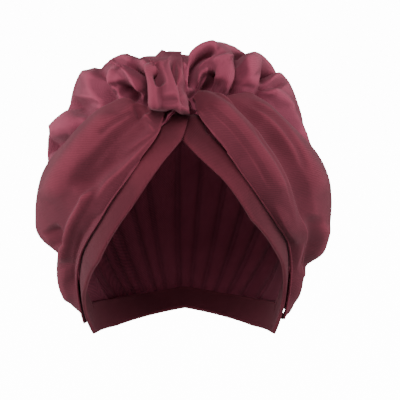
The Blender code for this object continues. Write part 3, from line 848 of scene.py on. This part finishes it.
def crown_front(angle, along):
    """Points of the crown's front part, and of the outline that each runs to."""
    table = np.array(OUTLINE, float)
    reach = np.interp(angle, table[:, 0], table[:, 1])
    forward = np.interp(angle, table[:, 0], table[:, 2])
    turn = math.pi / 2 * (START_SHARE + (1 - START_SHARE) * np.clip(along / FRONT_SHARE, 0, 1))
    out = reach * np.sin(turn)
    shown = angle
    for limit, side in ((EDGE_GATHER[0], 1), (EDGE_GATHER[1], -1)):
        past = np.maximum(side * (angle - limit), 0)
        shown = shown - side * past * (1 - smooth(out / EDGE_GATHER[2]))
    dip = KNOT_DIP[0] * (1 - smooth(out / KNOT_DIP[1]))
    depth = forward + (KNOT_FORWARD - forward) * np.cos(turn) - dip
    front = seen_at(KNOT_SEEN[0] + out * np.cos(np.radians(shown)),
                    KNOT_SEEN[1] + out * np.sin(np.radians(shown)), depth)
    rim = seen_at(KNOT_SEEN[0] + reach * np.cos(np.radians(angle)),
                  KNOT_SEEN[1] + reach * np.sin(np.radians(angle)), forward)
    return front, rim


def crown_back(across, along, rim):
    """Points of the crown's back part, from the outline over the pleats to the hem."""
    pleats = len(PLEATS)
    which = np.minimum(pleats - 1, (across * pleats + CREASE_NUDGE).astype(int))
    rim_dir, rim_lift = off_head(rim)
    rim_fan, rim_run = fan_and_run(rim_dir)
    behind = np.clip((along - FRONT_SHARE) / (1 - FRONT_SHARE), 0, 1)
    run = rim_run + (hem_run(rim_fan) - rim_run) * behind
    fan = rim_fan
    for _ in range(BLEND_ROUNDS):
        fans = pleat_fans(run)
        table_fan = np.zeros_like(across)
        for i in range(pleats):
            t = np.clip(across * pleats - i, 0, 1)
            table_fan = np.where(which == i, fans[i] + (fans[i + 1] - fans[i]) * t, table_fan)
        fan = rim_fan + (table_fan - rim_fan) * smooth((run - rim_run) / TABLE_BLEND)
        run = rim_run + (hem_run(fan) - rim_run) * behind
    lift = np.zeros_like(across)
    for i in range(pleats):
        t = np.clip(across * pleats - i, 0, 1)
        lift = np.where(which == i, pleat_lift(i, t, run), lift)
    lift = rim_lift + (lift - rim_lift) * smooth((run - rim_run) / LIFT_BLEND)
    return on_head(fan_direction(fan, run), lift)


def crown_place(across, along):
    """From the left edge over the top to the right, and from the knot to the nape."""
    angles = [row[1] for row in PLEATS] + [RIGHT_EDGE[0]]
    angle = np.interp(across, np.arange(len(angles)) / len(PLEATS), angles)
    front, rim = crown_front(angle, along)
    back = crown_back(across, along, rim)
    points = np.where((along <= FRONT_SHARE)[:, None], front, back)
    direction, lift = off_head(points)
    lift = lift - spread_out(lift - tucked(points, lift), CROWN_ROWS, 0, TUCK_PASSES)
    points = on_head(direction, lift)
    out_way = soft_normals(points.reshape(CROWN_ROWS + 1, -1, 3), FOLD_PASSES)
    nearness = 1 - smooth((points[:, 1] - rim[:, 1]) / FOLD_FADE)
    from_knot = np.linalg.norm(front_view(points) - KNOT_SEEN, axis=1)
    nearness = nearness * smooth((from_knot - GATHER_CALM[0]) / GATHER_CALM[1])
    points = points + out_way * (pressed(points, CROWN_FOLDS) * nearness)[:, None]
    direction, lift = off_head(points)
    run = fan_and_run(direction)[1]
    return on_head(direction, np.maximum(lift, off_band(direction, run, CROWN_OFF_BAND)))


crown = grid_sheet("crown_cloth", CELLS_A_PLEAT * len(PLEATS), CROWN_ROWS, crown_place, WALL)
crown.data.materials.append(jersey_material("crown_jersey", *CROWN_PAINTED_LIGHT_TONES))
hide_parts("crown")
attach(crown, "root")

# The three drapes. Wide folds of the same jersey that leave the knot, lie over the crown's
# sides and tuck in behind the band: one on the left, and on the right a narrow one over a
# full one. Their long edges are soft folds.
# The drapes' shades are the one jersey painted darker than the crown's, as painted shade on their sides
# turned from the light over the top
DRAPE_PAINTED_SHADE_TONES = ((.062, .0099, .0172), (.100, .0165, .0280))
REST = 0.0012
DRAPE_OFF_BAND = 0.0008
DRAPE_CELLS = 70
DRAPE_LENGTHS = 200
EDGE_ROLL = 0.0011
EDGE_ROLL_CELLS = 14
PUSH_WIDE = 2
PUSH_PASSES = 8
LOOK_ROUND = 0.011

# Folds of the drapes, in the same columns as those of the crown
DRAPE_FOLDS = (
    ("left valley", 13, -9.0, ((-38, 61), (-47, 53), (-65, 34), (-81, 19), (-90, 4))),
    ("left tip crease", 5, -4.0, ((-50, 66), (-43, 68), (-38, 70))),
    ("left upper swell", 13, 4.5, ((-62, 66), (-84, 46), (-102, 22), (-112, -2))),
    ("left lower ridge", 5, 4.5, ((-81, 12), (-87, -3), (-94, -16), (-98, -28), (-101, -38), (-102, -50))),
    ("left lower panel", 9, -3.0, ((-74, -8), (-84, -28), (-90, -48), (-92, -70))),
    ("left pocket", 7, -6.0, ((-104, -35), (-107, -27), (-112, -20))),
    ("left crease line", 3, -1.6, ((-44, 66), (-58, 54), (-74, 38), (-86, 24))),
    ("left fine line", 2.6, -1.2, ((-46, 69), (-60, 60), (-76, 46))),
    ("left tail line", 3, -1.5, ((-88, -22), (-92, -42), (-94, -62))),
    ("left low fold", 7, 2.5, ((-100, -46), (-102, -62), (-99, -78))),
    ("front fold", 9, 2.0, ((8, 78), (30, 56), (52, 26), (66, 2))),
    ("front shade", 7, -2.0, ((0, 66), (20, 46), (36, 25))),
    ("front crease line", 2.6, -1.2, ((4, 72), (24, 54), (42, 30), (54, 8))),
    ("back swell", 12, 3.0, ((38, 76), (62, 54), (82, 28), (92, 2))),
    ("back valley", 9, -4.0, ((44, 56), (62, 32), (74, 6), (80, -22))),
    ("back low crease", 7, -4.0, ((86, -10), (84, -34), (78, -56))),
    ("back side fold", 7, 3.0, ((94, -16), (88, -40), (80, -62))),
    ("back crease line", 3, -1.6, ((34, 74), (54, 60), (70, 40), (80, 18))),
)


def outside_of(sheet):
    """A finder of how high a sheet's outside lies off the head, looked up by direction."""
    points = np.array([vertex.co for vertex in sheet.data.vertices])[:len(sheet.data.vertices) // 2]
    direction, lift = off_head(points)
    tree = kdtree.KDTree(len(points))
    for k, way in enumerate(direction):
        tree.insert(way, k)
    tree.balance()

    def highest(ways, spread):
        found = np.zeros(len(ways))
        for k, way in enumerate(ways):
            near = tree.find_range(way, spread)
            if near:
                found[k] = max(lift[index] for co, index, far in near)
        return found

    return highest


def drape_place(rows, under):
    """Place function of a drape lofted through its cross lines, clear of what lies under it."""
    steps = np.linspace(0, 1, len(rows))

    def place(across, along):
        row = [curve(along, steps, column) for column in rows.T]
        s = 0.5 - 0.5 * np.cos(math.pi * across)
        fan = row[0] + (row[2] - row[0]) * s
        run = row[1] + (row[3] - row[1]) * s
        lift = FULL_LIFT * across_four(s, row[4:])
        direction = fan_direction(fan, run)
        lift = lift + pressed(on_head(direction, lift), DRAPE_FOLDS)
        push = np.zeros_like(lift)
        for highest in under:
            push = np.maximum(push, highest(direction, LOOK_ROUND) + WALL + REST - lift)
        lift = lift + spread_out(push, DRAPE_LENGTHS, PUSH_WIDE, PUSH_PASSES)
        edge = np.clip(1 - np.minimum(s, 1 - s) * EDGE_ROLL_CELLS, 0, 1)
        lift = lift - EDGE_ROLL * (1 - np.sqrt(1 - edge * edge))
        return on_head(direction, np.maximum(lift, off_band(direction, run, DRAPE_OFF_BAND)))

    return place


over_crown = outside_of(crown)
drape_jersey = jersey_material("drape_jersey", *DRAPE_PAINTED_SHADE_TONES)


def lay_drape(node, rows, under):
    """One drape in place of its node, laid over what lies under it."""
    drape = grid_sheet(node + "_cloth", DRAPE_CELLS, DRAPE_LENGTHS, drape_place(rows, under), WALL)
    drape.data.materials.append(drape_jersey)
    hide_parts(node)
    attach(drape, "root")
    return drape


left_drape = lay_drape("left_drape", left_rows, [over_crown])
back_drape = lay_drape("right_back_drape", back_rows, [over_crown])
over_back = outside_of(back_drape)
front_drape = lay_drape("right_front_drape", front_rows, [over_crown, over_back])

# The knot wrap. The fold of jersey brought over the gathers at the front, with a narrow
# second fold at its right, its foot tucked in over the crossed ends of the band. Its four
# sides are given on the front view, in millimetres across and up from its middle.
KNOT_FOOT = ((-36.5, 64), (-28, 63.2), (-19, 63), (-7.5, 63.5))
KNOT_TOP = ((-28.5, 112), (-25.5, 110.5), (-22.5, 107), (-18, 105), (-13.5, 104))
KNOT_LEFT = ((-36.5, 64), (-37.5, 72), (-38.2, 81), (-38.6, 90), (-37.6, 98), (-34.3, 105.5), (-28.5, 112))
KNOT_RIGHT = ((-7.5, 63.5), (-8.5, 73), (-10.5, 82), (-12, 90), (-13, 98), (-13.5, 104))

# How far forward of the middle it stands in millimetres, by the share of its climb from foot
# to crest, and how its sides sink and its top turns down behind the crest
KNOT_DEPTHS = ((0, 82), (.03, 90), (.08, 97), (.16, 101), (.35, 100), (.55, 95), (.75, 84),
               (.9, 68), (1, 52))
KNOT_CREST = 0.87
KNOT_TUCK = (-8.0, 38.0)
# The knot's shades are the one jersey painted between the crown's and the drapes', as painted light
KNOT_PAINTED_LIGHT_TONES = ((.088, .0153, .0272), (.137, .0250, .0428))
KNOT_EDGE_DROP = 19.0
KNOT_EDGE_CELLS = 7
KNOT_EDGE_START = (0.15, 5.0)
KNOT_EDGE_END = (0.7, 0.3)
KNOT_CELLS = 64
KNOT_ROWS = 90
KNOT_LOOK = 0.012
KNOT_FOLD_PASSES = 12
KNOT_PUSH_PASSES = 30
TUCK_PLAIN = 3
FOOT_ROWS = 14

# Folds of the knot, in the same columns as those of the crown
KNOT_FOLDS = (
    ("rolled edge", 5.5, 3.5, ((-33.5, 66), (-34, 78), (-34.5, 88), (-36, 97))),
    ("dimple", 5, -8.5, ((-35.5, 100), (-33.5, 96), (-31.5, 91), (-29, 84))),
    ("face swell", 11, 4.0, ((-27, 107), (-23, 96), (-21.5, 84), (-21, 74))),
    ("fold crease", 3.6, -7.0, ((-21.5, 101), (-19.5, 96), (-17, 90), (-14, 83), (-12.3, 75), (-11.7, 66))),
)


def knot_place(across, along):
    """From the foot up to the crest, then down behind it, between the knot's four sides."""
    climb = np.clip(along / KNOT_CREST, 0, 1)
    behind = np.clip((along - KNOT_CREST) / (1 - KNOT_CREST), 0, 1)
    s = across[:, None]
    t = climb[:, None]
    corners = ((1 - s) * (1 - t) * np.array(KNOT_FOOT[0]) + s * (1 - t) * np.array(KNOT_FOOT[-1])
               + (1 - s) * t * np.array(KNOT_TOP[0]) + s * t * np.array(KNOT_TOP[-1]))
    flat = ((1 - t) * through(KNOT_FOOT, across) + t * through(KNOT_TOP, across)
            + (1 - s) * through(KNOT_LEFT, climb) + s * through(KNOT_RIGHT, climb) - corners)
    depths = np.array(KNOT_DEPTHS)
    forward = curve(climb, depths[:, 0], depths[:, 1])
    edge = np.clip(1 - np.minimum(across, 1 - across) * KNOT_EDGE_CELLS, 0, 1)
    sunk = KNOT_EDGE_DROP * smooth(KNOT_EDGE_START[0] + climb * KNOT_EDGE_START[1])
    sunk = sunk * (1 - smooth((climb - KNOT_EDGE_END[0]) / KNOT_EDGE_END[1]))
    forward = forward - sunk * (1 - np.sqrt(1 - edge * edge))
    flat[:, 1] = flat[:, 1] + KNOT_TUCK[0] * behind ** 2
    forward = forward + (KNOT_TUCK[1] - KNOT_DEPTHS[-1][1]) * np.sin(behind * math.pi / 2)
    points = seen_at(flat[:, 0], flat[:, 1], forward)
    out_way = soft_normals(points.reshape(KNOT_ROWS + 1, -1, 3), KNOT_FOLD_PASSES)
    folds = pressed(points, KNOT_FOLDS) * (1 - smooth(behind * TUCK_PLAIN))
    points = points + out_way * folds[:, None]
    direction, lift = off_head(points)
    run = fan_and_run(direction)[1]
    need = off_band(direction, run, DRAPE_OFF_BAND - WALL * (1 - smooth(along * FOOT_ROWS)))
    for highest in (over_crown, over_left, over_front):
        need = np.maximum(need, highest(direction, KNOT_LOOK) + WALL + REST)
    push = spread_out(np.maximum(need - lift, 0), KNOT_ROWS, PUSH_WIDE, KNOT_PUSH_PASSES)
    return on_head(direction, lift + push)


over_left = outside_of(left_drape)
over_front = outside_of(front_drape)
knot = grid_sheet("knot_cloth", KNOT_CELLS, KNOT_ROWS, knot_place, WALL)
knot.data.materials.append(jersey_material("knot_jersey", *KNOT_PAINTED_LIGHT_TONES))
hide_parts("knot_wrap")
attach(knot, "root")

# The studio. A plain pale floor lies well below the wrap in a pale surround. A soft light
# stands over the camera and two more at the sides, so that the folds show their shadows.
FLOOR_DROP = 0.30
FLOOR_SIDE = 14.0
bpy.ops.object.select_all(action="DESELECT")
bpy.ops.mesh.primitive_plane_add(size=FLOOR_SIDE, location=(0, 0, -FLOOR_DROP))
floor = bpy.context.object
floor.name = "floor"
floor_paint = bpy.data.materials.new("floor_paint")
floor_paint.use_nodes = True
floor_shader = floor_paint.node_tree.nodes["Principled BSDF"]
floor_shader.inputs["Base Color"].default_value = (.45, .45, .45, 1)
floor_shader.inputs["Roughness"].default_value = 0.9
floor_shader.inputs["Emission Color"].default_value = (1, 1, 1, 1)
floor.data.materials.append(floor_paint)

# The surround and floor look near white to the camera and give the cloth only a weak fill
SEEN_BRIGHT = 14.0
FILL = 0.26
world = bpy.data.worlds.new("surround")
bpy.context.scene.world = world
world.use_nodes = True
world.node_tree.nodes["Background"].inputs["Color"].default_value = (1, 1, 1, 1)
for tree, socket, unseen in (
    (world.node_tree, world.node_tree.nodes["Background"].inputs["Strength"], FILL),
    (floor_paint.node_tree, floor_shader.inputs["Emission Strength"], 0.0),
):
    path = tree.nodes.new("ShaderNodeLightPath")
    bright = tree.nodes.new("ShaderNodeMath")
    bright.operation = "MULTIPLY_ADD"
    bright.inputs[1].default_value = SEEN_BRIGHT - unseen
    bright.inputs[2].default_value = unseen
    tree.links.new(path.outputs["Is Camera Ray"], bright.inputs[0])
    tree.links.new(bright.outputs["Value"], socket)

# Soft lights, a row for each: name, place, size and power
LIGHT_AIM = Vector((0, 0, -0.08))
LIGHTS = (
    ("over", (-0.12, -1.2, 0.85), 0.8, 23),
    ("left", (-1.35, -0.4, 0.0), 0.9, 28),
    ("right", (1.35, -0.4, -0.05), 0.9, 28),
)
for name, spot, size, power in LIGHTS:
    lamp = bpy.data.lights.new(name, "AREA")
    lamp.size = size
    lamp.energy = power
    holder = bpy.data.objects.new(name, lamp)
    holder.location = spot
    holder.rotation_euler = (LIGHT_AIM - Vector(spot)).to_track_quat("-Z", "Y").to_euler()
    bpy.context.scene.collection.objects.link(holder)

# The camera sees the wrap as the photo does
CAMERA_LENS = 157.3
lens = bpy.data.cameras.new("camera")
lens.lens = CAMERA_LENS
camera = bpy.data.objects.new("camera", lens)
tilt = math.radians(VIEW_TILT_DEG)
camera.location = Vector(VIEW_AIM) + Vector((0, -math.cos(tilt), math.sin(tilt))) * VIEW_REACH
camera.rotation_euler = (Vector(VIEW_AIM) - camera.location).to_track_quat("-Z", "Y").to_euler()
bpy.context.scene.collection.objects.link(camera)
bpy.context.scene.camera = camera
